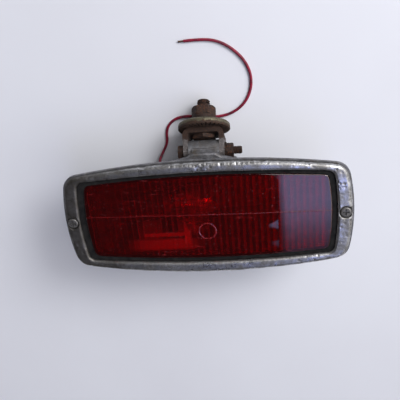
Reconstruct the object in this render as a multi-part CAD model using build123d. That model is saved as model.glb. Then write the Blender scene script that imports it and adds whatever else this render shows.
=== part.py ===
from build123d import *
import math
import os

# Rectangular rear lamp with a swivel mount, lying on its flat back.
# Frame: X along the lamp, +Y towards the mount, +Z out of the lens; origin on the back face. Sizes in mm.

# ---- Face -----------------------------------------------------------------------------------------------
FACE_W = 82.2            # half width of the bezel
FACE_H = 34.4            # half height of the bezel
FACE_SHIFT = -0.5        # the bezel hangs a little low around its opening
CROWN_Z = 52.0           # highest point of the bezel, over the flat back
FACE_DROP = 1.4          # how far the face falls back at its ends
FLANGE_BOTTOM = 45.8     # underside of the housing's rim
FLANGE_TOP = 47.8        # the bezel sits here
RIM_OUT = 0.8            # the housing's rim stands out past the bezel by this
LIP_UNDER = 49.0         # underside of the bezel's inner lip
LEDGE_Z = 45.1           # ledge that carries the reflector and the lens
REFLECTOR_T = 0.8
LENS_FLANGE_TOP = 48.0
LENS_CROWN_Z = 51.2
LENS_ROOF_T = 2.6        # lens thickness at its crown, down to the flutes
LENS_SHIFT = 0.5         # the lens sits a little off centre in its seal
FLUTE_PITCH = 3.4
FLUTE_DEPTH = 0.18
GROOVE_X = 41.0          # moulded groove that parts off the last third of the lens
WALL = 2.2
FLOOR_T = 2.4
SCREW_X = 78.2           # bezel screws, either end

# ---- Swivel mount ---------------------------------------------------------------------------------------
PIVOT_Y = 30.7
PIVOT_Z = 23.2
TILT = -32.0             # degrees the stud leans back from the plane of the face
PAD_Y = 22.4             # face that the lug stands on
LUG_FOOT_T = 2.0
LUG_R = 6.8
LUG_W = 13.6
LUG_SCREW_X = 15.3
BOSS_W = 18.1            # over the knuckle
APRON_FROM, APRON_TO = 31.2, 34.2
SLOT_DEPTH = 7.0
CLEVIS_IN = 18.2         # gap between the clevis arms
STRIP_T = 3.0
STRIP_W = 16.0
BASE_IN = 9.9            # pivot axis to the inside of the clevis base
ARM_R = 5.4
PIVOT_R = 2.5            # M5 pivot bolt
STUD_R = 4.0             # M8 stud
RUN = 0.05               # radial running clearance
HEAD_T = 2.6
STUD_TIP = 31.6          # pivot axis to the end of the stud
DISC_R = 15.5
DISC_FROM, DISC_TO = 12.95, 17.1
TEETH = 36
TOOTH_DEPTH = 0.7
WASHER_FROM, WASHER_TO = 19.4, 21.3
NUT_TO = 27.1
NUT_AF = 13.0

# ---- Bulb and holder ------------------------------------------------------------------------------------
BULB_Z = 28.5
GLASS_R = 12.3
GLASS_END_X = 8.0
CAP_R = 7.5
CAP_FROM, CAP_TO = -40.0, -23.0
SLEEVE_R = 8.7
SLEEVE_FROM, SLEEVE_TO = -46.0, -27.0
REFLECTOR_FLOOR = 13.8

# ---- Supply wire ----------------------------------------------------------------------------------------
WIRE_R = 0.85
GROMMET_X, GROMMET_Y, GROMMET_Z = -31.4, 14.4, 8.0    # where the wire's line meets the housing wall
GROMMET_LEAN = -24.0                                  # degrees below +Y
GROMMET_OUT, GROMMET_IN = 1.7, -4.2                   # ends of the grommet along that line


def mounted(shape):
    """Moves a piece drawn about the pivot, with the stud along +Y, to its place on the lamp."""
    return Pos(0, PIVOT_Y, PIVOT_Z) * Rot(TILT, 0, 0) * shape


def bulged(half_w, half_h, side_sag, top_sag, r):
    """Rectangle whose four sides bow outwards, with rounded corners."""
    x, y = half_w - side_sag, half_h - top_sag
    with BuildSketch() as sk:
        with BuildLine():
            ThreePointArc((-x, y), (0, half_h), (x, y))
            ThreePointArc((x, y), (half_w, 0), (x, -y))
            ThreePointArc((x, -y), (0, -half_h), (-x, -y))
            ThreePointArc((-x, -y), (-half_w, 0), (-x, y))
        make_face()
        fillet(sk.vertices(), r)
    return sk.sketch


def slab(outline, z0, z1):
    return Pos(0, 0, z0) * extrude(outline, z1 - z0)


def hull(sections, inset=0.0):
    """Smooth hollow-ware body through outlines given as (z, half_w, half_h, side_sag, top_sag, r)."""
    faces = []
    for z, w, h, side, top, r in sections:
        faces.append(Pos(0, 0, z) * bulged(w - inset, h - inset, side, top, r - 0.6 * inset))
    return loft(faces)


def rod(r, x0, x1, y=0.0, z=0.0):
    """Cylinder along X."""
    return Pos((x0 + x1) / 2, y, z) * Rot(0, 90, 0) * Cylinder(r, x1 - x0)


def post(r, y0, y1, x=0.0, z=0.0):
    """Cylinder along Y."""
    return Pos(x, (y0 + y1) / 2, z) * Rot(-90, 0, 0) * Cylinder(r, y1 - y0)


def block(x0, x1, y0, y1, z0, z1):
    return Pos((x0 + x1) / 2, (y0 + y1) / 2, (z0 + z1) / 2) * Box(x1 - x0, y1 - y0, z1 - z0)


def hexagon_post(af, y0, y1):
    """Hexagon along Y whose corners are turned off at both ends."""
    prism = Pos(0, y0, 0) * Rot(-90, 0, 0) * extrude(RegularPolygon(af / 2, 6, major_radius=False), y1 - y0)
    turned_r = af / 2 * 1.12
    cone = chamfer(post(turned_r + 0.001, y0, y1).edges().filter_by(GeomType.CIRCLE), 0.1 * af * 0.6)
    return prism & cone


OUTER = (FACE_W, FACE_H, 3.6, 6.5, 9.0)
OPENING = (73.6, 28.1, 1.95, 3.35, 4.25)
RECESS = (75.6, 31.7, 2.0, 4.6, 6.0)
LENS_FLANGE = (75.0, 31.2, 2.0, 4.6, 5.6)
LENS_BODY = (70.4, 25.8, 1.9, 3.2, 3.6)
LENS_HOLLOW = (69.0, 24.4, 1.8, 3.1, 2.6)
TUB = [
    (0.0, 45.0, 10.8, 1.5, 1.0, 8.0),
    (10.0, 54.0, 15.6, 2.2, 1.8, 11.0),
    (31.0, 67.0, 21.9, 2.6, 3.0, 12.0),
    (46.0, 77.8, 33.6, 3.0, 5.2, 7.0),
]
TROUGH = [
    (13.0, 47.0, 10.6, 1.0, 0.8, 5.0),
    (28.0, 56.0, 17.0, 1.6, 1.6, 6.0),
    (45.9, 67.4, 24.6, 1.8, 3.0, 5.0),
]


def crowned(z_top, drop, cross_drop, half_h):
    """Big barrel-shaped cutter body whose top is the face's double curve."""
    r_long = FACE_W**2 / (2 * drop)
    if cross_drop == 0:
        return Pos(0, 0, z_top - r_long) * Rot(90, 0, 0) * Cylinder(r_long, 120)
    r_cross = half_h**2 / (2 * cross_drop)
    y = 50.0
    z_side = z_top - (r_cross - math.sqrt(r_cross**2 - y**2))
    with BuildSketch(Plane.YZ) as sk:
        with BuildLine():
            ThreePointArc((-y, z_side), (0, z_top), (y, z_side))
            Polyline((y, z_side), (y, 10.0), (-y, 10.0), (-y, z_side))
        make_face()
    axis = Axis((0, 0, z_top - r_long), (0, 1, 0))
    return revolve(sk.sketch, axis, 8.0).rotate(axis, -4.0)


# ---- Housing, bezel, lens -------------------------------------------------------------------------------
def housing():
    rim = (OUTER[0] + RIM_OUT, OUTER[1] + RIM_OUT / 2, OUTER[2], OUTER[3], OUTER[4])
    body = hull(TUB) + Pos(0, FACE_SHIFT, 0) * slab(bulged(*rim), FLANGE_BOTTOM, FLANGE_TOP)
    body += block(-19, 19, 8, PAD_Y, 13.5, 31.0)
    for side in (-1, 1):
        body += Pos(side * SCREW_X, 0, 42.9) * Cylinder(3.8, 5.8)
    line = Pos(GROMMET_X, GROMMET_Y, GROMMET_Z) * Rot(GROMMET_LEAN, 0, 0)
    boss = line * post(5.2, -3.2, 0.7)
    hollow = hull(TUB, WALL) & block(-90, 90, -40, 40, FLOOR_T, 43.1)
    body = (body - hollow) + boss
    body -= slab(bulged(69.0, 25.6, 1.9, 3.2, 4.0), 42.0, 46.0)
    body -= slab(bulged(*RECESS), LEDGE_Z, FLANGE_TOP + 1)
    body -= line * post(2.5, -8, 8)
    for side in (-1, 1):
        body -= Pos(side * SCREW_X, 0, 46.0) * Cylinder(2.0, 8.6)
        body -= post(2.0, 18.6, 24.0, side * LUG_SCREW_X, PIVOT_Z)
    return body


def bezel():
    ring = Pos(0, FACE_SHIFT, 0) * slab(bulged(*OUTER), FLANGE_TOP, CROWN_Z + 1)
    ring = ring & crowned(CROWN_Z, FACE_DROP, 0, 0)
    ring -= slab(bulged(*OPENING), FLANGE_TOP - 1, CROWN_Z + 2)
    top = ring.faces().sort_by(Axis.Z)[-1]
    ring = fillet(top.outer_wire().edges(), 2.2)
    top = ring.faces().sort_by(Axis.Z)[-1]
    inner = [e for w in top.inner_wires() for e in w.edges()]
    ring = fillet(inner, 1.5)
    ring -= slab(bulged(*RECESS), FLANGE_TOP - 1, LIP_UNDER)
    for side in (-1, 1):
        ring -= Pos(side * SCREW_X, 0, 54.0) * Cylinder(3.6, 9.6)
        ring -= Pos(side * SCREW_X, 0, 48.0) * Cylinder(2.1, 6.0)
    return ring


def bezel_screw(side):
    seat = 49.2
    head = Pos(0, 0, seat + 0.7) * Cylinder(3.1, 1.4)
    head = fillet(head.edges().sort_by(Axis.Z)[-1], 0.9)
    shank = Pos(0, 0, (seat + 42.0) / 2) * Cylinder(2.0, seat - 42.0)
    screw = head + shank
    for turn in (0, 90):
        screw -= Rot(0, 0, turn) * Pos(0, 0, seat + 1.1) * Box(3.6, 0.75, 1.4)
    return Pos(side * SCREW_X, 0, 0) * screw


def flute_cutter():
    """Room under the lens roof: its ceiling is a row of shallow flutes that run across the lamp."""
    z = LENS_CROWN_Z - LENS_ROOF_T
    count = 2 * int(69.0 / FLUTE_PITCH)
    start = -count * FLUTE_PITCH / 2
    with BuildSketch(Plane.XZ) as sk:
        with BuildLine():
            for i in range(count):
                x0 = start + i * FLUTE_PITCH
                x1 = x0 + FLUTE_PITCH
                z0 = z - FACE_DROP * (x0 / FACE_W) ** 2
                z1 = z - FACE_DROP * (x1 / FACE_W) ** 2
                ThreePointArc((x0, z0), ((x0 + x1) / 2, (z0 + z1) / 2 - FLUTE_DEPTH), (x1, z1))
            end_z = z - FACE_DROP * (start / FACE_W) ** 2
            Polyline((-start, end_z), (-start, 40), (start, 40), (start, end_z))
        make_face()
    return extrude(sk.sketch, 40, both=True)


def lens():
    solid = slab(bulged(*LENS_BODY), LEDGE_Z + REFLECTOR_T, 54) & crowned(LENS_CROWN_Z, 1.2, 1.0, 25.8)
    solid = fillet(solid.faces().sort_by(Axis.Z)[-1].outer_wire().edges(), 0.7)
    solid += slab(bulged(*LENS_FLANGE), LEDGE_Z + REFLECTOR_T, LENS_FLANGE_TOP)
    solid -= slab(bulged(*LENS_HOLLOW), LEDGE_Z, 60) & flute_cutter()
    solid -= block(GROOVE_X - 0.45, GROOVE_X + 0.45, -24.0, 24.0, LENS_CROWN_Z - 1.0, 54)
    return Pos(LENS_SHIFT, 0, 0) * solid


def lens_seal():
    ring = slab(bulged(75.3, 31.4, 2.0, 4.6, 5.8), LENS_FLANGE_TOP, LIP_UNDER)
    ring += slab(bulged(73.5, 28.0, 1.95, 3.35, 4.2), LENS_FLANGE_TOP, LIP_UNDER + 0.25)
    ring -= Pos(LENS_SHIFT, 0, 0) * slab(bulged(70.45, 25.85, 1.9, 3.2, 3.6), 40, 60)
    return ring


def reflector():
    top = LEDGE_Z + REFLECTOR_T
    pan = hull(TROUGH) + slab(bulged(75.1, 31.3, 2.0, 4.6, 5.6), LEDGE_Z, top)
    pan -= hull(TROUGH, REFLECTOR_T) & block(-90, 90, -40, 40, REFLECTOR_FLOOR, 46.0)
    pan -= slab(bulged(66.5, 23.7, 1.8, 3.0, 4.4), 45.0, 46.2)
    pan -= Pos(-50, 0, 20) * Cylinder(1.6, 24)
    for x in RIVET_X:
        pan -= Pos(x, 0, 13) * Cylinder(1.2, 6)
    return pan


# ---- Bulb, holder and inside wiring ---------------------------------------------------------------------
RIVET_X = (-29.0, -24.6)


def bulb_glass():
    with BuildSketch(Plane.XZ) as sk:
        with BuildLine():
            Polyline((CAP_TO, 6.0), (CAP_TO, 6.8))
            Spline((CAP_TO, 6.8), (-14.5, 11.0), (GLASS_END_X - 13.0, GLASS_R), (GLASS_END_X - 3.2, 8.6),
                   (GLASS_END_X, 0.0), tangents=((1, 0.1), (0, -1)))
            Polyline((GLASS_END_X, 0.0), (GLASS_END_X - 0.8, 0.0))
            Spline((GLASS_END_X - 0.8, 0.0), (GLASS_END_X - 3.8, 8.0), (GLASS_END_X - 13.0, GLASS_R - 0.8),
                   (-14.2, 10.2), (CAP_TO, 6.0), tangents=((0, 1), (-1, -0.1)))
        make_face()
    return Pos(0, 0, BULB_Z) * revolve(sk.sketch, Axis.X)


def bulb_cap():
    shell = rod(CAP_R, CAP_FROM, CAP_TO, 0, BULB_Z) - rod(6.8, CAP_FROM + 1.0, CAP_TO + 1, 0, BULB_Z)
    shell -= rod(3.0, CAP_FROM - 1, CAP_FROM + 2, 0, BULB_Z)
    for side in (-1, 1):
        shell += post(1.0, min(side * 7.0, side * 8.4), max(side * 7.0, side * 8.4), -34.0, BULB_Z)
    return shell


def bulb_contact():
    return rod(3.0, CAP_FROM - 0.2, CAP_FROM + 1.0, 0, BULB_Z) + rod(2.2, CAP_FROM - 1.2, CAP_FROM, 0, BULB_Z)


def bulb_filament():
    wires = rod(2.6, CAP_FROM + 1.0, CAP_TO + 3.0, 0, BULB_Z)
    for side in (-1, 1):
        wires += rod(0.35, CAP_TO + 2.0, -5.0, side * 2.2, BULB_Z)
    with BuildLine() as line:
        ThreePointArc((-5.0, -2.6, BULB_Z), (-4.0, 0, BULB_Z), (-5.0, 2.6, BULB_Z))
    coil = sweep(Plane(line.line @ 0, z_dir=line.line % 0) * Circle(0.5), line.line)
    return wires + coil


def bulb_holder():
    sleeve = rod(SLEEVE_R, SLEEVE_FROM, SLEEVE_TO, 0, BULB_Z)
    plate = block(-36.2, -35.0, -8.0, 8.0, REFLECTOR_FLOOR, BULB_Z)
    foot = block(-36.2, -22.2, -5.5, 5.5, REFLECTOR_FLOOR, REFLECTOR_FLOOR + 1.2)
    body = sleeve + plate + foot - rod(CAP_R, SLEEVE_FROM - 1, SLEEVE_TO + 1, 0, BULB_Z)
    for side in (-1, 1):
        body -= block(-35.0, SLEEVE_TO + 1, side * 8 - 1.05, side * 8 + 1.05, BULB_Z - 1.05, BULB_Z + 1.05)
    for x in RIVET_X:
        body -= Pos(x, 0, REFLECTOR_FLOOR) * Cylinder(1.2, 6)
    return body


def holder_rivet(x):
    low, high = REFLECTOR_FLOOR - REFLECTOR_T, REFLECTOR_FLOOR + 1.2
    rivet = Pos(x, 0, (low + high) / 2) * Cylinder(1.2, high - low)
    rivet += Pos(x, 0, high + 0.4) * Cylinder(2.2, 0.8)
    rivet += Pos(x, 0, low - 0.4) * Cylinder(2.0, 0.8)
    return rivet


def contact_insulator():
    return rod(CAP_R, -45.5, -43.9, 0, BULB_Z) - rod(1.5, -46, -43, 0, BULB_Z)


def contact_plunger():
    return rod(2.4, -43.9, CAP_FROM - 1.2, 0, BULB_Z)


def terminal_tab():
    blade = block(-52.0, -46.4, -3.15, 3.15, BULB_Z - 0.4, BULB_Z + 0.4)
    return blade + rod(1.5, -46.6, -43.9, 0, BULB_Z)


def tube(points, radii, r):
    """Round wire along straight runs joined by tangent arcs."""
    with BuildLine() as line:
        FilletPolyline(*points, radius=radii)
    path = line.wires()[0]
    return sweep(Plane(path @ 0, z_dir=path % 0) * Circle(r), path), path.length


def corner_radii(points, share=0.45):
    """Largest arc each corner's two runs leave room for."""
    radii = []
    for a, b, c in zip(points, points[1:], points[2:]):
        first, second = Vector(*b) - Vector(*a), Vector(*c) - Vector(*b)
        turn = math.radians(first.get_angle(second))
        radii.append(share * min(first.length, second.length) / math.tan(turn / 2))
    return radii


def along_exit(d):
    """A point on the grommet's axis, d outside the wall."""
    a = math.radians(GROMMET_LEAN)
    return GROMMET_X, GROMMET_Y + d * math.cos(a), GROMMET_Z + d * math.sin(a)


def inner_lead():
    points = [
        (-50.0, 0.0, BULB_Z - 0.4), (-50.0, 0.0, 14.5), (-46.5, 1.0, 7.8), (-39.5, 2.0, 6.6),
        along_exit(-9.6), along_exit(GROMMET_OUT),
    ]
    return tube(points, corner_radii(points), WIRE_R)[0]


def grommet():
    line = Pos(GROMMET_X, GROMMET_Y, GROMMET_Z) * Rot(GROMMET_LEAN, 0, 0)
    body = line * (post(2.5, -3.2, 0.7) + post(4.0, 0.7, GROMMET_OUT) + post(3.8, GROMMET_IN, -3.2))
    return body - line * post(WIRE_R, -8, 4)


# Chosen by hand: down from the grommet to the floor, round behind the mount, and back in one wide hook.
WIRE_ROUTE = [
    along_exit(GROMMET_OUT),
    along_exit(7.2),
    (-28.9, 25.2, 2.0),
    (-25.6, 31.0, WIRE_R),
    (-25.6, 38.6, WIRE_R),
    (-22.4, 43.9, WIRE_R),
    (-16.2, 46.9, WIRE_R),
    (-7.6, 46.8, WIRE_R),
    (1.8, 45.6, WIRE_R),
    (11.4, 45.6, WIRE_R),
    (19.4, 48.6, WIRE_R),
    (25.4, 54.0, WIRE_R),
    (28.9, 61.6, WIRE_R),
    (29.2, 70.0, WIRE_R),
    (25.8, 78.4, WIRE_R),
    (19.4, 85.4, WIRE_R),
    (10.8, 90.8, WIRE_R),
    (0.6, 92.4, WIRE_R),
    (-9.2, 92.0, WIRE_R),
]
BARE_L = 4.0


def supply_wire():
    radii = corner_radii(WIRE_ROUTE)
    solid, length = tube(WIRE_ROUTE, radii, WIRE_R)
    print("wire radii", [round(r, 1) for r in radii])
    print("wire length", round(length, 1), "volume", round(solid.volume, 1),
          "section times length", round(math.pi * WIRE_R**2 * length, 1))
    return solid


def bare_end():
    a, b = Vector(*WIRE_ROUTE[-2]), Vector(*WIRE_ROUTE[-1])
    way = (b - a).normalized()
    return extrude(Plane(b, z_dir=way) * Circle(0.55), BARE_L)


# ---- Swivel mount ---------------------------------------------------------------------------------------
def swivel_lug():
    """Cast foot, knuckle and front block; an apron flares out below the clevis arms."""
    top = PAD_Y + LUG_FOOT_T
    foot = block(-18.4, 18.4, PAD_Y, top, 15.0, 31.0)
    foot = fillet(foot.edges().filter_by(Axis.Y), 3.0)
    web = block(-LUG_W / 2, LUG_W / 2, top - 0.5, PIVOT_Y, PIVOT_Z - LUG_R, PIVOT_Z + LUG_R)
    knuckle = rod(LUG_R, -BOSS_W / 2, BOSS_W / 2, PIVOT_Y, PIVOT_Z)
    front = block(-LUG_W / 2, LUG_W / 2, top - 0.5, PIVOT_Y + 4.1, PIVOT_Z, PIVOT_Z + LUG_R + 0.4)
    front = fillet(front.faces().sort_by(Axis.Y)[-1].edges(), 0.6)
    flare = block(-LUG_W / 2 - 1, LUG_W / 2 + 1, top - 0.5, top + 0.8, PIVOT_Z - LUG_R - 1, PIVOT_Z + LUG_R + 1)
    flare = chamfer(flare.faces().sort_by(Axis.Y)[-1].edges(), 0.7)
    with BuildSketch() as sk:
        Polygon((-21.0, 25.4), (-21.0, 27.4), (-15.5, 29.7), (-10.2, 30.9), (-LUG_W / 2, 33.0),
                (LUG_W / 2, 33.0), (10.2, 30.9), (15.5, 29.7), (21.0, 27.4), (21.0, 25.4), align=None)
    apron = slab(sk.sketch, APRON_FROM, APRON_TO)
    apron = fillet(apron.edges().filter_by(Axis.Z), 0.8)
    apron = chamfer(apron.faces().sort_by(Axis.Z)[-1].edges(), 0.7)
    root = block(-LUG_W / 2, LUG_W / 2, 25.4, 31.5, PIVOT_Z + 5, APRON_FROM + 1)
    body = foot + flare + web + knuckle + front + root + apron
    body -= rod(PIVOT_R + RUN, -12, 12, PIVOT_Y, PIVOT_Z)
    body -= Pos(0.5, 28.3, APRON_TO) * Cylinder(2.5, 2 * SLOT_DEPTH)
    for side in (-1, 1):
        body -= post(2.0, PAD_Y - 1, PAD_Y + 4, side * LUG_SCREW_X, PIVOT_Z)
    return body


def lug_screw(side):
    top = PAD_Y + LUG_FOOT_T
    head = post(2.9, top, top + 1.2, side * LUG_SCREW_X, PIVOT_Z)
    head = fillet(head.edges().sort_by(Axis.Y)[-1], 0.7)
    screw = head + post(2.0, 18.6, top, side * LUG_SCREW_X, PIVOT_Z)
    return screw - block(side * LUG_SCREW_X - 2.2, side * LUG_SCREW_X + 2.2, top + 0.7, top + 3, PIVOT_Z - 0.4, PIVOT_Z + 0.4)


def clevis_bracket():
    x = CLEVIS_IN / 2
    top = BASE_IN + STRIP_T
    with BuildSketch() as sk:
        with BuildLine():
            Polyline((-x, -12), (-x, BASE_IN), (x, BASE_IN), (x, -12), (x + STRIP_T, -12),
                     (x + STRIP_T, top), (-x - STRIP_T, top), (-x - STRIP_T, -12), (-x, -12))
        make_face()
        corners = sk.vertices().group_by(Axis.Y)
        fillet(corners[-1], STRIP_T + 1.4)
        fillet(sk.vertices().filter_by(lambda v: abs(v.Y - BASE_IN) < 0.01), 1.4)
    strip = extrude(sk.sketch, STRIP_W / 2, both=True)
    with BuildSketch(Plane.YZ) as side:
        Circle(ARM_R)
        with BuildLine():
            Polyline((0, ARM_R), (BASE_IN - 1.0, STRIP_W / 2), (top + 1, STRIP_W / 2),
                     (top + 1, -STRIP_W / 2), (BASE_IN - 1.0, -STRIP_W / 2), (0, -ARM_R), (0, ARM_R))
        make_face()
    body = strip & extrude(side.sketch, 20, both=True)
    body -= rod(PIVOT_R, -20, 20)
    body -= post(STUD_R + RUN, 5, 20)
    return mounted(body)


def hexagon_rod(af, x0, x1):
    """Hexagon along X, on the pivot, with its corners turned off."""
    return Rot(0, 0, -90) * hexagon_post(af, x0, x1)


ARM_OUT = CLEVIS_IN / 2 + STRIP_T


def pivot_bolt():
    head = hexagon_rod(8.0, -ARM_OUT - 3.5, -ARM_OUT)
    shank = rod(PIVOT_R, -ARM_OUT, 22.2)
    shank = chamfer(shank.edges().sort_by(Axis.X)[-1], 0.5)
    return mounted(head + shank)


def pivot_washer():
    return mounted(rod(5.0, ARM_OUT, ARM_OUT + 1.0) - rod(PIVOT_R, 0, 20))


def pivot_nut():
    return mounted(hexagon_rod(8.0, ARM_OUT + 1.0, ARM_OUT + 5.0) - rod(PIVOT_R, 0, 30))


def stud_bolt():
    head = hexagon_post(NUT_AF, BASE_IN - HEAD_T, BASE_IN - 0.03)
    shank = post(STUD_R, BASE_IN - 1, STUD_TIP)
    shank = chamfer(shank.edges().sort_by(Axis.Y)[-1], 0.8)
    shank -= post(6, NUT_TO + 0.1, NUT_TO + 0.75) - post(STUD_R - 0.4, NUT_TO, NUT_TO + 1)
    return mounted(head + shank)


def friction_disc():
    """Thick disc whose clevis side carries a ring of radial teeth."""
    disc = post(DISC_R, DISC_FROM, DISC_TO)
    disc = fillet(disc.edges().sort_by(Axis.Y)[-1], 1.6)
    disc = chamfer(disc.edges().sort_by(Axis.Y)[0], 0.5)
    with BuildSketch(Plane.XY.offset(11.0)) as tooth:
        Polygon((-0.75, DISC_FROM - 0.1), (0.75, DISC_FROM - 0.1), (0, DISC_FROM + TOOTH_DEPTH), align=None)
    groove = extrude(tooth.sketch, 6)
    for i in range(TEETH):
        disc -= Rot(0, i * 360 / TEETH, 0) * groove
    return mounted(disc - post(STUD_R, 5, 30))


def lock_washer():
    ring = post(7.2, WASHER_FROM, WASHER_TO) - post(STUD_R + RUN, 10, 30)
    split = Pos(5.6, (WASHER_FROM + WASHER_TO) / 2, 0) * Rot(25, 0, 0) * Box(5.4, 5.0, 0.9)
    return mounted(Rot(0, 130, 0) * (ring - split))


def stud_nut():
    return mounted(hexagon_post(NUT_AF, WASHER_TO, NUT_TO) - post(STUD_R + RUN, 10, 40))


def pair(make):
    return Compound(children=[make(-1), make(1)])


Parts = {
    "housing": housing(),
    "bezel": bezel(),
    "bezel_screws": pair(bezel_screw),
    "lens": lens(),
    "lens_seal": lens_seal(),
    "reflector": reflector(),
    "bulb_glass": bulb_glass(),
    "bulb_cap": bulb_cap(),
    "bulb_contact": bulb_contact(),
    "bulb_filament": bulb_filament(),
    "bulb_holder": bulb_holder(),
    "holder_rivets": Compound(children=[holder_rivet(x) for x in RIVET_X]),
    "contact_insulator": contact_insulator(),
    "contact_plunger": contact_plunger(),
    "terminal_tab": terminal_tab(),
    "inner_lead": inner_lead(),
    "grommet": grommet(),
    "supply_wire": supply_wire(),
    "bare_end": bare_end(),
    "swivel_lug": swivel_lug(),
    "lug_screws": pair(lug_screw),
    "clevis_bracket": clevis_bracket(),
    "pivot_bolt": pivot_bolt(),
    "pivot_washer": pivot_washer(),
    "pivot_nut": pivot_nut(),
    "stud_bolt": stud_bolt(),
    "friction_disc": friction_disc(),
    "lock_washer": lock_washer(),
    "stud_nut": stud_nut(),
}

os.makedirs("parts", exist_ok=True)
for name, shape in Parts.items():
    export_step(shape, f"parts/{name}.step")
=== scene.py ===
import math
import random

import bmesh
import bpy
from mathutils import Matrix, Vector, noise


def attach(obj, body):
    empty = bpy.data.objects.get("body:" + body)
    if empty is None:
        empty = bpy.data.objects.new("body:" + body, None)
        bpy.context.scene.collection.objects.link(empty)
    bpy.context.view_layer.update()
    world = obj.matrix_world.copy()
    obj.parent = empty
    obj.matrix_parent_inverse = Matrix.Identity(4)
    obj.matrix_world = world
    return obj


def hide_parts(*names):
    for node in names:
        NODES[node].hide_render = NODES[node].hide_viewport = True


MM = 0.001

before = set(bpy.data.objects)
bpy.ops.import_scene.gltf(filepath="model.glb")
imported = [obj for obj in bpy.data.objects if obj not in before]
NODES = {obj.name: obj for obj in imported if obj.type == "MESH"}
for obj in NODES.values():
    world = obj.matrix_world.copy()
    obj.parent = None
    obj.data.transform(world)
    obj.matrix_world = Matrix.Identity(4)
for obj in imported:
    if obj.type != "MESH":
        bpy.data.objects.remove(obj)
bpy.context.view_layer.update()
# The pivot's place in millimetres, and the frame whose +Y runs along the stud, which leans towards the table.
PIVOT = Vector((0, 30.7, 23.2))
STUD_TILT = math.radians(-32.0)
LEAN = Matrix.Translation(PIVOT) @ Matrix.Rotation(STUD_TILT, 4, "X")
# The face: height of its crown, and how far it falls from the middle to the ends.
CROWN_Z, CROWN_DROP, HALF_LENGTH = 52.0, 1.4, 82.2
BEZEL_FOOT_Z = 48.6
# The plain moulded ring on the lens.
RING_AT = (0.6, -7.9)
RING_R = 4.9
# The plane the reflector's painted light and painted shadow are laid out from, and their slant in x and y per
# millimetre below it.
LENS_BACK_Z = 51.0
SIGHT_SLANT = (0.159, 0.494)


# ---- Node helpers ---------------------------------------------------------------------------------------
class Nodes:
    """Short names for the nodes that materials and world share."""

    def __init__(self, tree):
        self.tree = tree

    def node(self, kind, **settings):
        n = self.tree.nodes.new(kind)
        for key, value in settings.items():
            setattr(n, key, value)
        return n

    def link(self, a, b):
        self.tree.links.new(a, b)

    def feed(self, socket, value):
        """Links an output to the socket, or sets a grey value or a colour on it."""
        if isinstance(value, tuple):
            socket.default_value = (*value, 1)
        elif not isinstance(value, (int, float)):
            self.link(value, socket)
        elif socket.type == "RGBA":
            socket.default_value = (value, value, value, 1)
        else:
            socket.default_value = value

    def split(self, vector):
        """The vector's x, y and z."""
        n = self.node("ShaderNodeSeparateXYZ")
        self.link(vector, n.inputs[0])
        return n.outputs

    def mix(self, fac, a, b):
        n = self.node("ShaderNodeMix", data_type="RGBA")
        for socket, value in ((n.inputs[0], fac), (n.inputs[6], a), (n.inputs[7], b)):
            self.feed(socket, value)
        return n.outputs[2]

    def maths(self, operation, a, b=0.0):
        n = self.node("ShaderNodeMath", operation=operation)
        self.feed(n.inputs[0], a)
        self.feed(n.inputs[1], b)
        return n.outputs[0]

    def times(self, a, b):
        return self.maths("MULTIPLY", a, b)

    def larger(self, a, b):
        return self.maths("MAXIMUM", a, b)

    def step(self, value, start, end, low=0.0, high=1.0):
        """Goes smoothly from low to high while the value goes from start to end."""
        n = self.node("ShaderNodeMapRange", interpolation_type="SMOOTHSTEP")
        for key, number in (("From Min", start), ("From Max", end), ("To Min", low), ("To Max", high)):
            n.inputs[key].default_value = number
        self.link(value, n.inputs["Value"])
        return n.outputs[0]

    def band(self, value, middle, half, soft):
        """1 within half of the middle, and 0 from there on after a soft edge."""
        return self.step(self.maths("ABSOLUTE", self.maths("ADD", value, -middle)), half, half + soft, 1.0, 0.0)


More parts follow.
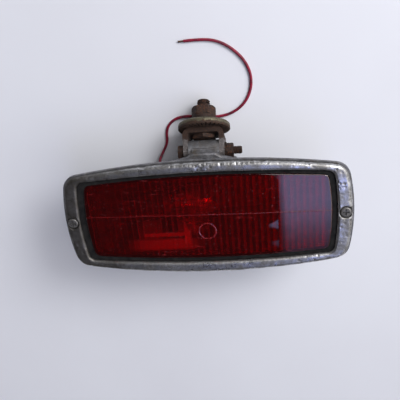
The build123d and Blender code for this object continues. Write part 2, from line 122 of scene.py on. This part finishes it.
class Shader(Nodes):
    """A Principled material whose noise is laid out in the row frame, in millimetres."""

    def __init__(self, name):
        self.mat = bpy.data.materials.new(name)
        self.mat.use_nodes = True
        super().__init__(self.mat.node_tree)
        self.bsdf = self.tree.nodes["Principled BSDF"]
        self.coords = self.node("ShaderNodeTexCoord").outputs["Object"]

    def scaled(self, sx=1.0, sy=1.0, sz=1.0):
        """Object coordinates stretched by these factors, in millimetres."""
        m = self.node("ShaderNodeMapping")
        m.inputs["Scale"].default_value = (1000 * sx, 1000 * sy, 1000 * sz)
        self.link(self.coords, m.inputs["Vector"])
        return m.outputs["Vector"]

    def noise(self, size_mm, detail=6.0, rough=0.6, stretch=(1, 1, 1), distortion=0.0):
        n = self.node("ShaderNodeTexNoise")
        n.inputs["Scale"].default_value = 1.0 / size_mm
        n.inputs["Detail"].default_value = detail
        n.inputs["Roughness"].default_value = rough
        n.inputs["Distortion"].default_value = distortion
        self.link(self.scaled(*stretch), n.inputs["Vector"])
        return n.outputs["Fac"]

    def cells(self, size_mm):
        n = self.node("ShaderNodeTexVoronoi")
        n.inputs["Scale"].default_value = 1.0 / size_mm
        self.link(self.scaled(), n.inputs["Vector"])
        return n.outputs["Distance"]

    def ramp(self, value, stops):
        """stops: (position, colour or grey value)."""
        n = self.node("ShaderNodeValToRGB")
        elements = n.color_ramp.elements
        while len(elements) < len(stops):
            elements.new(0.5)
        for e, (at, colour) in zip(elements, stops):
            e.position = at
            grey = isinstance(colour, (int, float))
            e.color = (colour, colour, colour, 1) if grey else (*colour, 1)
        self.link(value, n.inputs["Fac"])
        return n.outputs["Color"]

    def bump(self, height, strength, distance_mm):
        """Adds one layer of relief over any set before."""
        n = self.node("ShaderNodeBump")
        n.inputs["Strength"].default_value = strength
        n.inputs["Distance"].default_value = distance_mm * MM
        self.link(height, n.inputs["Height"])
        previous = self.bsdf.inputs["Normal"]
        if previous.is_linked:
            self.link(previous.links[0].from_socket, n.inputs["Normal"])
        self.link(n.outputs["Normal"], previous)

    def set(self, **values):
        names = {"color": "Base Color", "rough": "Roughness", "metal": "Metallic", "ior": "IOR",
                 "transmission": "Transmission Weight", "coat": "Coat Weight", "coat_rough": "Coat Roughness",
                 "specular": "Specular IOR Level"}
        for key, value in values.items():
            self.feed(self.bsdf.inputs[names[key]], value)


# ---- Materials ------------------------------------------------------------------------------------------
def bezel_metal():
    """Worn bright plating over dull cast metal, with dirt in its pits, painted shade in its creases and low
    edges, and painted shade towards its left end.
    """
    s = Shader("bezel_metal")
    dull = s.ramp(s.noise(7.0, 9, 0.68, distortion=0.5), [(0.40, 0.0), (0.60, 1.0)])
    base = s.mix(dull, s.ramp(s.noise(2.2, 8, 0.7), [(0.30, (0.46, 0.46, 0.46)), (0.70, (0.64, 0.64, 0.65))]),
                 s.ramp(s.noise(1.2, 8, 0.75), [(0.32, (0.15, 0.145, 0.135)), (0.68, (0.34, 0.33, 0.32))]))
    speck = s.ramp(s.cells(0.9), [(0.10, 1.0), (0.22, 0.0)])
    speck = s.mix(s.ramp(s.noise(5.0, 6, 0.65), [(0.52, 0.0), (0.60, 1.0)]), 0.0, speck)
    stain = s.ramp(s.noise(3.2, 10, 0.78, distortion=0.9), [(0.56, 0.0), (0.70, 1.0)])
    crease = s.node("ShaderNodeNewGeometry").outputs["Pointiness"]
    # Painted shade in the creases, where the surface is hollow.
    grime_and_painted_shade = s.ramp(crease, [(0.452, 1.0), (0.488, 0.0)])
    worn = s.mix(stain, base, (0.085, 0.075, 0.062))
    worn = s.mix(speck, worn, (0.030, 0.026, 0.022))
    x, _, z = s.split(s.scaled())
    # Painted shade towards the left end, where the plating also turns rougher.
    uneven = s.times(s.maths("SUBTRACT", s.noise(9.0, 8, 0.7), 0.5), 90.0)
    left_shade_and_dullness = s.step(s.maths("ADD", x, uneven), -15.0, -75.0)
    worn = s.mix(s.times(left_shade_and_dullness, 0.80), worn, (0.060, 0.052, 0.043))
    # Painted shade from some depth below the crown on, joined to the painted shade in the creases.
    fall = s.times(s.maths("POWER", x, 2.0), CROWN_DROP / HALF_LENGTH**2)
    below = s.maths("SUBTRACT", s.maths("SUBTRACT", CROWN_Z, fall), z)
    below = s.maths("ADD", below, s.times(s.maths("SUBTRACT", s.noise(3.0, 8, 0.7), 0.5), 2.4))
    grime_and_painted_shade = s.larger(grime_and_painted_shade, s.ramp(s.maths("DIVIDE", below, 4.0), [(0.30, 0.0), (0.52, 1.0)]))
    s.set(color=s.mix(grime_and_painted_shade, worn, (0.022, 0.020, 0.018)))
    s.set(metal=s.mix(s.larger(stain, grime_and_painted_shade), 0.96, 0.15))
    rough = s.mix(dull, s.ramp(s.noise(1.6, 8, 0.7), [(0.30, 0.16), (0.70, 0.34)]), 0.52)
    s.set(rough=s.mix(s.times(left_shade_and_dullness, 0.85), rough, 0.56))
    s.bump(s.noise(0.45, 6, 0.7), 0.35, 0.05)
    s.bump(s.noise(2.6, 4, 0.55), 0.30, 0.16)
    s.bump(speck, -0.6, 0.12)
    return s.mat


def cast_grey():
    """Grey painted casting, its paint stained and worn."""
    s = Shader("cast_grey")
    base = s.ramp(s.noise(5.0, 8, 0.68), [(0.30, (0.08, 0.08, 0.085)), (0.52, (0.155, 0.155, 0.165)),
                                           (0.72, (0.30, 0.30, 0.315))])
    dirt = s.ramp(s.noise(8.0, 9, 0.75, distortion=0.8), [(0.50, 0.0), (0.66, 1.0)])
    s.set(color=s.mix(dirt, base, (0.085, 0.070, 0.055)))
    s.set(metal=s.ramp(dirt, [(0.0, 0.55), (1.0, 0.1)]))
    s.set(rough=s.ramp(s.noise(1.4, 6, 0.6), [(0.30, 0.42), (0.70, 0.66)]))
    s.bump(s.noise(0.7, 4, 0.6), 0.5, 0.06)
    return s.mat


def rusty_steel(name, rust=0.5, light=(0.26, 0.082, 0.020), dark=(0.008, 0.005, 0.004),
                steel=(0.055, 0.038, 0.030), worse=None):
    """rust: share of the surface that has rusted through. worse=(a, b): more, along the stud from a to b."""
    s = Shader(name)
    patches = s.noise(2.6, 9, 0.74, distortion=0.5)
    if worse:
        along = s.node("ShaderNodeVectorMath", operation="DOT_PRODUCT")
        s.link(s.scaled(), along.inputs[0])
        stud_way = Vector((0, math.cos(STUD_TILT), math.sin(STUD_TILT)))
        along.inputs[1].default_value = stud_way
        zero = PIVOT.dot(stud_way)
        more = s.step(along.outputs["Value"], zero + worse[0], zero + worse[1], 0.0, 0.42)
        patches = s.maths("ADD", patches, more)
    rusted = s.ramp(patches, [(0.72 - 0.42 * rust, 0.0), (0.84 - 0.42 * rust, 1.0)])
    scale = s.noise(0.8, 8, 0.78)
    brown = s.ramp(scale, [(0.38, dark), (0.53, (0.032, 0.013, 0.007)), (0.64, tuple(0.6 * c for c in light)),
                           (0.72, light)])
    clean = s.ramp(s.noise(1.0, 7, 0.7), [(0.32, tuple(0.25 * c for c in steel)), (0.70, steel)])
    s.set(color=s.mix(rusted, clean, brown))
    s.set(metal=s.ramp(rusted, [(0.0, 0.8), (1.0, 0.05)]))
    s.set(rough=s.mix(rusted, s.ramp(scale, [(0.3, 0.38), (0.7, 0.62)]), 0.88))
    s.bump(s.noise(1.6, 5, 0.6), 0.6, 0.20)
    s.bump(scale, 0.9, 0.12)
    return s.mat


def red_plastic():
    """Deep red moulding: fine haze inside, gloss outside, a moulded line along the middle and a plain ring."""
    s = Shader("red_lens")
    x, y, _ = s.split(s.scaled())
    line = s.maths("ADD", s.maths("ADD", y, -2.5), s.times(x, 0.012))
    line = s.ramp(s.maths("ABSOLUTE", line), [(0.10, 1.0), (0.30, 0.0)])
    from_ring = s.maths("SQRT", s.maths("ADD", s.maths("POWER", s.maths("ADD", x, -RING_AT[0]), 2.0),
                                        s.maths("POWER", s.maths("ADD", y, -RING_AT[1]), 2.0)))
    ring = s.ramp(s.maths("ABSOLUTE", s.maths("ADD", from_ring, -RING_R)), [(0.15, 1.0), (0.45, 0.0)])
    marks = s.larger(line, ring)
    scratch = s.ramp(s.noise(1.1, 3, 0.5, (0.10, 1.7, 1)), [(0.665, 0.0), (0.70, 1.0)])
    scratch = s.mix(s.ramp(s.noise(14.0, 4, 0.6), [(0.46, 0.0), (0.60, 1.0)]), 0.0, scratch)
    dust = s.ramp(s.noise(0.8, 2, 0.5), [(0.705, 0.0), (0.74, 1.0)])
    broken = s.ramp(s.noise(1.6, 3, 0.5), [(0.40, 0.15), (0.60, 1.0)])
    worn = s.larger(s.times(scratch, 0.35), s.times(dust, 0.6))
    worn = s.larger(worn, s.times(line, 0.16))
    worn = s.larger(worn, s.times(s.mix(broken, 0.0, ring), 0.40))
    s.set(color=s.mix(worn, (0.82, 0.002, 0.007), (0.42, 0.26, 0.28)))
    s.set(transmission=s.maths("SUBTRACT", 0.979, s.times(worn, 0.8)), ior=1.49)
    s.set(rough=s.ramp(s.noise(16.0, 8, 0.7), [(0.42, 0.025), (0.72, 0.07)]))
    s.set(coat=1.0, coat_rough=0.02, specular=0.1)
    s.bump(s.noise(18.0, 3, 0.5), 0.12, 0.10)
    s.bump(marks, 0.5, 0.12)
    s.link(s.bsdf.inputs["Normal"].links[0].from_socket, s.bsdf.inputs["Coat Normal"])
    absorb = s.node("ShaderNodeVolumeAbsorption")
    absorb.inputs["Color"].default_value = (0.62, 0.004, 0.010, 1)
    absorb.inputs["Density"].default_value = 120.0
    s.link(absorb.outputs["Volume"], s.tree.nodes["Material Output"].inputs["Volume"])
    return s.mat


def rubber():
    """Dull black rubber of the seal and the grommet."""
    s = Shader("black_rubber")
    s.set(color=s.ramp(s.noise(3.0, 6, 0.6), [(0.3, (0.006, 0.006, 0.007)), (0.75, (0.022, 0.021, 0.020))]))
    s.set(rough=s.ramp(s.noise(1.0, 5, 0.6), [(0.3, 0.66), (0.7, 0.90)]), specular=0.1)
    s.bump(s.noise(0.5, 4, 0.6), 0.4, 0.04)
    return s.mat


def bright_sheet():
    """Dulled reflector with painted highlights and painted pools of light beside the bulb and below it, and a
    painted shadow beside the bulb, laid out along a slanted line of sight.
    """
    s = Shader("mirror_sheet")
    x, y, z = s.split(s.scaled())
    depth = s.maths("SUBTRACT", LENS_BACK_Z, z)
    x = s.maths("ADD", x, s.times(depth, SIGHT_SLANT[0]))
    y = s.maths("ADD", y, s.times(depth, SIGHT_SLANT[1]))
    x_line = s.maths("SUBTRACT", x, s.times(y, 0.095))
    # Painted highlights along an upright line and a level line, with a painted halo of light round the upright
    # one.
    painted_upright_highlight = s.times(s.band(x_line, -9.0, 1.5, 1.2), s.band(y, 1.0, 15.0, 7.0))
    painted_halo = s.times(s.band(x_line, -9.5, 3.5, 9.0), s.band(y, 6.0, 10.0, 8.0))
    level = s.times(s.band(x, -22.5, 13.0, 3.0), s.band(y, -8.6, 0.8, 1.0))
    # Painted pools of light below the bulb and at its left.
    painted_light_pool = s.times(s.band(x, -25.0, 12.0, 14.0), s.band(y, -15.0, 2.2, 3.0))
    painted_lit_patch = s.times(s.band(x, -34.0, 4.0, 7.0), s.band(y, -1.0, 12.0, 8.0))
    # Painted shadow beside the bulb.
    dark = s.times(s.band(x, -18.5, 7.5, 2.5), s.band(y, 1.5, 7.5, 2.0))
    pale = s.larger(painted_upright_highlight, level)
    for part, strength in ((painted_light_pool, 0.85), (painted_halo, 0.5), (painted_lit_patch, 0.45)):
        pale = s.larger(pale, s.times(part, strength))
    dull = s.ramp(s.noise(9.0, 8, 0.7), [(0.36, (0.035, 0.035, 0.035)), (0.66, (0.13, 0.13, 0.13))])
    # The painted shadow darkens the dull sheet.
    dull = s.mix(s.times(dark, 0.8), dull, (0.012, 0.012, 0.012))
    # Where light is painted, the sheet turns near-white and loses its metal.
    s.set(color=s.mix(pale, dull, (1.0, 0.98, 0.96)), metal=s.maths("SUBTRACT", 0.9, s.times(pale, 0.9)))
    s.set(rough=s.ramp(s.noise(4.0, 6, 0.6), [(0.3, 0.36), (0.7, 0.55)]))
    s.bump(s.noise(9.0, 3, 0.5), 0.3, 0.3)
    return s.mat


def clear_glass():
    """Glass of the bulb."""
    s = Shader("clear_glass")
    s.set(color=(0.96, 0.97, 0.96), transmission=1.0, ior=1.5)
    s.set(rough=s.ramp(s.noise(6.0, 4, 0.5), [(0.4, 0.0), (0.8, 0.05)]))
    return s.mat


def plain_metal(name, dark, light, rough=(0.28, 0.5), size=2.5, metal=1.0):
    """Bare metal whose tone wanders between dark and light over about size millimetres."""
    s = Shader(name)
    s.set(color=s.ramp(s.noise(size, 7, 0.65), [(0.32, dark), (0.68, light)]), metal=metal)
    s.set(rough=s.ramp(s.noise(size * 0.5, 6, 0.6), [(0.3, rough[0]), (0.7, rough[1])]))
    s.bump(s.noise(size * 0.25, 5, 0.6), 0.3, 0.04)
    return s.mat


def wire_sleeve():
    """Red sleeve of the wires, soiled."""
    s = Shader("red_wire")
    grime_and_painted_shade = s.ramp(s.noise(3.0, 7, 0.7), [(0.42, 0.0), (0.66, 1.0)])
    s.set(color=s.mix(grime_and_painted_shade, (0.24, 0.007, 0.030), (0.060, 0.005, 0.016)))
    s.set(rough=s.ramp(s.noise(1.0, 5, 0.6), [(0.3, 0.38), (0.7, 0.60)]), specular=0.35)
    s.bump(s.noise(0.8, 4, 0.6), 0.25, 0.04)
    return s.mat


def fibre():
    """Pressed brown board under the bulb's contact."""
    s = Shader("brown_insulator")
    layers = s.noise(0.8, 7, 0.7, (1, 1, 4))
    s.set(color=s.ramp(layers, [(0.3, (0.09, 0.035, 0.015)), (0.7, (0.20, 0.09, 0.04))]), rough=0.7)
    s.bump(s.noise(0.4, 4, 0.6), 0.4, 0.04)
    return s.mat


def floor_paint():
    """Plain pale floor."""
    s = Shader("pale_floor")
    s.set(color=s.ramp(s.noise(160.0, 4, 0.5), [(0.3, (0.70, 0.71, 0.755)), (0.7, (0.745, 0.76, 0.805))]))
    s.set(rough=0.7, specular=0.2)
    s.bump(s.noise(2.0, 3, 0.5), 0.05, 0.1)
    return s.mat


def finish_nodes():
    """Gives each CAD node that stays in view its finish."""
    grey = cast_grey()
    screw = rusty_steel("screw_steel", 0.35, steel=(0.26, 0.25, 0.24))
    brass = plain_metal("brass", (0.12, 0.085, 0.04), (0.34, 0.25, 0.12), (0.4, 0.6))
    zinc = plain_metal("plated_steel", (0.012, 0.011, 0.010), (0.045, 0.043, 0.041), (0.5, 0.7), metal=0.4)
    black = rubber()
    finishes = {
        "housing": grey, "swivel_lug": grey, "lug_screws": screw, "bezel_screws": screw, "lens": red_plastic(),
        "bezel": bezel_metal(), "lens_seal": black, "grommet": black, "reflector": bright_sheet(),
        "bulb_glass": clear_glass(), "bulb_cap": brass, "contact_plunger": brass, "terminal_tab": brass,
        "bulb_contact": plain_metal("solder", (0.34, 0.34, 0.35), (0.56, 0.56, 0.56)),
        "bulb_filament": plain_metal("filament_metal", (0.20, 0.20, 0.21), (0.42, 0.42, 0.43)),
        "bulb_holder": zinc, "holder_rivets": zinc, "contact_insulator": fibre(), "inner_lead": wire_sleeve(),
        "clevis_bracket": rusty_steel("grey_steel", 0.36, light=(0.10, 0.05, 0.025), steel=(0.27, 0.245, 0.24),
                                      worse=(4.2, 9.0)),
        "pivot_washer": rusty_steel("washer_steel", 0.6), "pivot_nut": FASTENER, "pivot_bolt": FASTENER,
        "stud_bolt": FASTENER, "stud_nut": FASTENER,
        # The lock washer's rust is darkened further as painted shade under the nut.
        "lock_washer": rusty_steel("washer_rust_and_painted_shade", 0.7, light=(0.09, 0.04, 0.025), dark=(0.012, 0.008, 0.008)),
        # The disc's extra rust towards its underside is rust and also painted shade there.
        "friction_disc": rusty_steel("worn_disc", 0.46, light=(0.18, 0.09, 0.035), dark=(0.024, 0.018, 0.012),
                                     steel=(0.21, 0.19, 0.125), worse=(15.5, 12.9)),
    }
    for name, material in finishes.items():
        mesh = NODES[name].data
        mesh.materials.clear()
        mesh.materials.append(material)
    return finishes


# ---- Metal pieces with more shape than their CAD nodes --------------------------------------------------
def place_piece(name, mesh, material, body, node):
    """Adds the mesh as a visible piece that rides on the body and stands for the CAD node."""
    mesh.materials.clear()
    mesh.materials.append(material)
    piece = bpy.data.objects.new(name, mesh)
    bpy.context.scene.collection.objects.link(piece)
    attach(piece, body)
    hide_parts(node)
    return piece


def worn_bezel(material):
    """The bezel with the shallow dents, casting waves and corrosion pits of a used one."""
    source = NODES["bezel"]
    mesh = source.data.copy()
    mesh.transform(source.matrix_world)
    work = bpy.data.objects.new("bezel_work", mesh)
    bpy.context.scene.collection.objects.link(work)
    remesh = work.modifiers.new("remesh", "REMESH")
    remesh.mode = "VOXEL"
    remesh.voxel_size = 0.42 * MM
    dense = bpy.data.meshes.new_from_object(work.evaluated_get(bpy.context.evaluated_depsgraph_get()))
    bpy.data.objects.remove(work)
    rng = random.Random(11)
    cell = 4
    pits = []
    for _ in range(420):
        angle = rng.uniform(0, 2 * math.pi)
        spread = 1.0 + 0.12 * rng.uniform(-1, 1)
        place = Vector((79 * math.cos(angle) * spread, 31.5 * math.sin(angle) * spread, 51.2))
        place.x = max(-81.0, min(81.0, place.x * 1.12))
        place.y = max(-33.5, min(32.5, place.y * 1.25))
        pits.append((place, rng.uniform(0.35, 1.1), rng.uniform(0.06, 0.20)))
    for centre in ((56, 32.0), (59, 31.2), (62, 32.3), (73, 24.5), (75, 16.0), (-2, 31.0), (2, 31.6)):
        for _ in range(5):
            place = Vector((centre[0] + rng.uniform(-3, 3), centre[1] + rng.uniform(-1.6, 1.6), 51.2))
            pits.append((place, rng.uniform(0.5, 1.3), rng.uniform(0.12, 0.30)))
    cells = {}
    for pit in pits:
        cells.setdefault((int(pit[0].x // cell), int(pit[0].y // cell)), []).append(pit)
    normals = [v.normal.copy() for v in dense.vertices]
    for v, normal in zip(dense.vertices, normals):
        p = v.co * 1000
        if p.z < BEZEL_FOOT_Z:
            continue
        wave = noise.noise(p * 0.11) * 0.10 + noise.noise(p * 0.45) * 0.035 + noise.noise(p * 1.4) * 0.014
        depth = 0.05 - wave
        ci, cj = int(p.x // cell), int(p.y // cell)
        for i in (ci - 1, ci, ci + 1):
            for j in (cj - 1, cj, cj + 1):
                for place, r, d in cells.get((i, j), ()):
                    away = math.hypot(p.x - place.x, p.y - place.y)
                    if away < r:
                        depth += d * (1 - (away / r) ** 2)
        v.co = v.co - normal * depth * MM
    for face in dense.polygons:
        face.use_smooth = True
    dense.update()
    return place_piece("bezel_ring", dense, material, "lamp", "bezel")


def skin(bm, rings):
    """Faces between rings of vertices, and a cap at each end."""
    sides = len(rings[0])
    for a, b in zip(rings, rings[1:]):
        for i in range(sides):
            bm.faces.new((a[i], a[(i + 1) % sides], b[(i + 1) % sides], b[i]))
    bm.faces.new(rings[-1])
    bm.faces.new(list(reversed(rings[0])))


def turned_bolt(name, frame_matrix, head, shank_to, r, pitch, af, body, node,
                smooth_to=None, groove=None):
    """Hexagon head and threaded shank along the frame's +Y, in millimetres.

    head: start and end. af: width across flats. smooth_to: end of the plain shank. groove: start, end, radius.
    """
    bm = bmesh.new()
    rows = []
    sides = 48
    y0, y1 = head
    depth = 0.54 * pitch
    step = pitch / 7
    count = int((shank_to - y1) / step) + 1
    for k in range(count + 1):
        y = min(y1 - 0.2 + k * step, shank_to)
        ring = []
        for i in range(sides):
            angle = 2 * math.pi * i / sides
            phase = ((y / pitch) - i / sides) % 1.0
            crest = abs(2 * phase - 1)
            crest = min(1.0, max(0.0, 1.25 * crest - 0.08))
            radius = r - depth * crest
            if smooth_to and y < smooth_to:
                radius = r
            if groove and groove[0] <= y <= groove[1]:
                radius = min(radius, groove[2])
            fade = (shank_to - y) / 0.9
            if fade < 1:
                radius = min(radius, r - 0.8 * (1 - fade))
            spot = Vector((radius * math.cos(angle), y, radius * math.sin(angle)))
            radius -= 0.035 * (1 + noise.noise(spot * 1.7))
            ring.append(bm.verts.new((radius * math.cos(angle), y, radius * math.sin(angle))))
        rows.append(ring)
    skin(bm, rows)
    corner = af / math.sqrt(3)
    hexes = []
    rounding = ((0.0, 0.90), (0.22, 0.965), (0.5, 1.0))
    for y, scale in [(y0 + d, k) for d, k in rounding] + [(y1 - d, k) for d, k in reversed(rounding)]:
        ring = []
        for i in range(sides):
            angle = 2 * math.pi * i / sides
            flat = (af / 2) / math.cos((angle + math.pi / 6) % (math.pi / 3) - math.pi / 6)
            radius = min(flat, corner * scale)
            radius *= 1 - 0.006 * (1 + noise.noise(Vector((math.cos(angle) * 5, y * 2.0, math.sin(angle) * 5))))
            ring.append(bm.verts.new((radius * math.cos(angle), y, radius * math.sin(angle))))
        hexes.append(ring)
    skin(bm, hexes)
    bmesh.ops.recalc_face_normals(bm, faces=bm.faces)
    for face in bm.faces:
        face.smooth = True
    bm.transform(Matrix.Scale(MM, 4) @ frame_matrix)
    mesh = bpy.data.meshes.new(name)
    bm.to_mesh(mesh)
    bm.free()
    mesh.set_sharp_from_angle(angle=math.radians(32))
    return place_piece(name, mesh, FASTENER, body, node)


# ---- Supply wire ----------------------------------------------------------------------------------------
WIRE_R_MM = 0.85
WIRE_D = 2 * WIRE_R_MM * MM
GROMMET = Vector((-31.4, 14.4, 8.0))
EXIT_LEAN = math.radians(-24.0)


def along_exit(d):
    """A point d millimetres out of the grommet, along its axis."""
    return GROMMET + d * Vector((0, math.cos(EXIT_LEAN), math.sin(EXIT_LEAN)))


WIRE_ROUTE = [
    along_exit(1.7),
    along_exit(7.2),
    (-28.9, 25.2, 2.0),
    (-25.6, 31.0, WIRE_R_MM),
    (-25.6, 38.6, WIRE_R_MM),
    (-22.4, 43.9, WIRE_R_MM),
    (-16.2, 46.9, WIRE_R_MM),
    (-7.6, 46.8, WIRE_R_MM),
    (1.8, 45.6, WIRE_R_MM),
    (11.4, 45.6, WIRE_R_MM),
    (19.4, 48.6, WIRE_R_MM),
    (25.4, 54.0, WIRE_R_MM),
    (28.9, 61.6, WIRE_R_MM),
    (29.2, 70.0, WIRE_R_MM),
    (25.8, 78.4, WIRE_R_MM),
    (19.4, 85.4, WIRE_R_MM),
    (10.8, 90.8, WIRE_R_MM),
    (0.6, 92.4, WIRE_R_MM),
    (-9.2, 92.0, WIRE_R_MM),
]


def supply_wire(material):
    """The round red cord along the route; the route's points are its control points."""
    curve = bpy.data.curves.new("supply_wire_sleeve", "CURVE")
    curve.dimensions = "3D"
    curve.bevel_depth = WIRE_D / 2
    curve.bevel_resolution = 6
    curve.resolution_u = 12
    curve.use_fill_caps = True
    spline = curve.splines.new("NURBS")
    spline.points.add(len(WIRE_ROUTE) - 1)
    for point, place in zip(spline.points, WIRE_ROUTE):
        point.co = (*(c * MM for c in place), 1.0)
    spline.order_u = 3
    spline.use_endpoint_u = True
    wire = bpy.data.objects.new("supply_wire_sleeve", curve)
    bpy.context.scene.collection.objects.link(wire)
    curve.materials.append(material)
    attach(wire, "lamp")
    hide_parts("supply_wire")
    return wire


def bare_strands():
    """Seven twisted copper strands past the end of the sleeve, a little splayed."""
    start, before = Vector(WIRE_ROUTE[-1]), Vector(WIRE_ROUTE[-2])
    way = (start - before).normalized()
    side = way.cross(Vector((0, 0, 1))).normalized()
    up = side.cross(way)
    curve = bpy.data.curves.new("bare_strands", "CURVE")
    curve.dimensions = "3D"
    curve.bevel_depth = 0.17 * MM
    curve.bevel_resolution = 3
    curve.use_fill_caps = True
    rng = random.Random(5)
    for k in range(7):
        spline = curve.splines.new("POLY")
        count = 14
        spline.points.add(count - 1)
        r = 0.0 if k == 0 else 0.36
        reach = 3.9 - 0.5 * rng.random()
        for i, point in enumerate(spline.points):
            t = i / (count - 1)
            angle = 2 * math.pi * (k / 6 + 0.55 * t)
            spread = r * (1 + 0.12 * t * rng.uniform(0, 1))
            place = start + way * (t * reach - 0.4)
            place = place + side * (spread * math.cos(angle)) + up * (spread * math.sin(angle))
            point.co = (*(place * MM), 1.0)
    strands = bpy.data.objects.new("bare_strands", curve)
    bpy.context.scene.collection.objects.link(strands)
    curve.materials.append(plain_metal("bare_copper", (0.030, 0.016, 0.012), (0.22, 0.11, 0.06), size=0.8))
    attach(strands, "lamp")
    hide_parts("bare_end")
    return strands


# ---- Stage ----------------------------------------------------------------------------------------------
def place_camera():
    """Looks down on the face from the mount's side, a little from the right."""
    azimuth, elevation, roll = math.radians(17.2), math.radians(65.6), math.radians(5.64)
    flat = math.cos(elevation)
    back = Vector((math.sin(azimuth) * flat, math.cos(azimuth) * flat, math.sin(elevation)))
    lamp_up = Vector((0, 1, 0))
    lamp_up = (lamp_up - back * lamp_up.dot(back)).normalized()
    up = Matrix.Rotation(-roll, 3, back) @ lamp_up
    side = up.cross(back)
    target = Vector((-2.1, 11.3, 50.0)) * MM
    data = bpy.data.cameras.new("camera")
    data.lens, data.sensor_width = 49.5, 36.0
    data.clip_start = 0.01
    camera = bpy.data.objects.new("camera", data)
    turn = Matrix((side, up, back)).transposed().to_4x4()
    camera.matrix_world = Matrix.Translation(target + back * 0.309) @ turn
    bpy.context.scene.collection.objects.link(camera)
    bpy.context.scene.camera = camera


def area_light(name, place, aim, size, power, colour):
    """A square light of this side at the place, facing the aim, hidden from the camera."""
    data = bpy.data.lights.new(name, "AREA")
    data.shape = "RECTANGLE"
    data.size, data.size_y = size, size
    data.energy = power
    data.color = colour
    light = bpy.data.objects.new(name, data)
    way = Vector(place) - Vector(aim)
    light.matrix_world = Matrix.Translation(place) @ way.to_track_quat("Z", "Y").to_matrix().to_4x4()
    light.visible_camera = False
    bpy.context.scene.collection.objects.link(light)


def set_stage():
    """Pale floor, a room with a dark and a bright side, and one large window light."""
    mesh = bpy.data.meshes.new("floor")
    half = 3.0
    corners = [(-half, -half, 0), (half, -half, 0), (half, half, 0), (-half, half, 0)]
    mesh.from_pydata(corners, [], [(0, 1, 2, 3)])
    mesh.materials.append(floor_paint())
    floor = bpy.data.objects.new("floor", mesh)
    bpy.context.scene.collection.objects.link(floor)
    world = bpy.data.worlds.new("world")
    world.use_nodes = True
    w = Nodes(world.node_tree)
    x, y, z = w.split(w.node("ShaderNodeTexCoord").outputs["Generated"])
    bright_side = w.times(w.step(x, 0.042, 0.066), w.step(y, -0.62, -0.34, 0.15, 1.0))
    blue = w.times(w.step(x, 0.42, 0.26), w.step(y, -0.02, -0.12))
    sky = w.mix(blue, (1.62, 1.60, 1.62), (0.95, 1.08, 1.95))
    room = w.mix(bright_side, (0.024, 0.022, 0.024), sky)
    room = w.mix(w.step(z, 0.36, 0.14), room, (0.42, 0.42, 0.44))
    w.link(room, w.tree.nodes["Background"].inputs["Color"])
    bpy.context.scene.world = world
    area_light("window", (0.52, 0.46, 0.55), (0, 0, 0.03), 0.34, 5.2, (0.99, 0.985, 1.0))
    bpy.context.scene.view_settings.view_transform = "Standard"


FASTENER = rusty_steel("rusty_steel", 0.80)
FINISHES = finish_nodes()
worn_bezel(FINISHES["bezel"])
turned_bolt("stud_screw", LEAN, head=(7.3, 9.87), shank_to=31.6, r=4.0, pitch=1.25, af=13.0,
            body="stud", node="stud_bolt", groove=(27.2, 27.85, 3.6))
turned_bolt("pivot_screw", LEAN @ Matrix.Rotation(math.radians(-90), 4, "Z"), head=(-15.6, -12.1),
            shank_to=22.2, r=2.5, pitch=0.8, af=8.0, body="bracket", node="pivot_bolt",
            smooth_to=11.0)
WIRE = supply_wire(FINISHES["inner_lead"])
STRANDS = bare_strands()
place_camera()
set_stage()
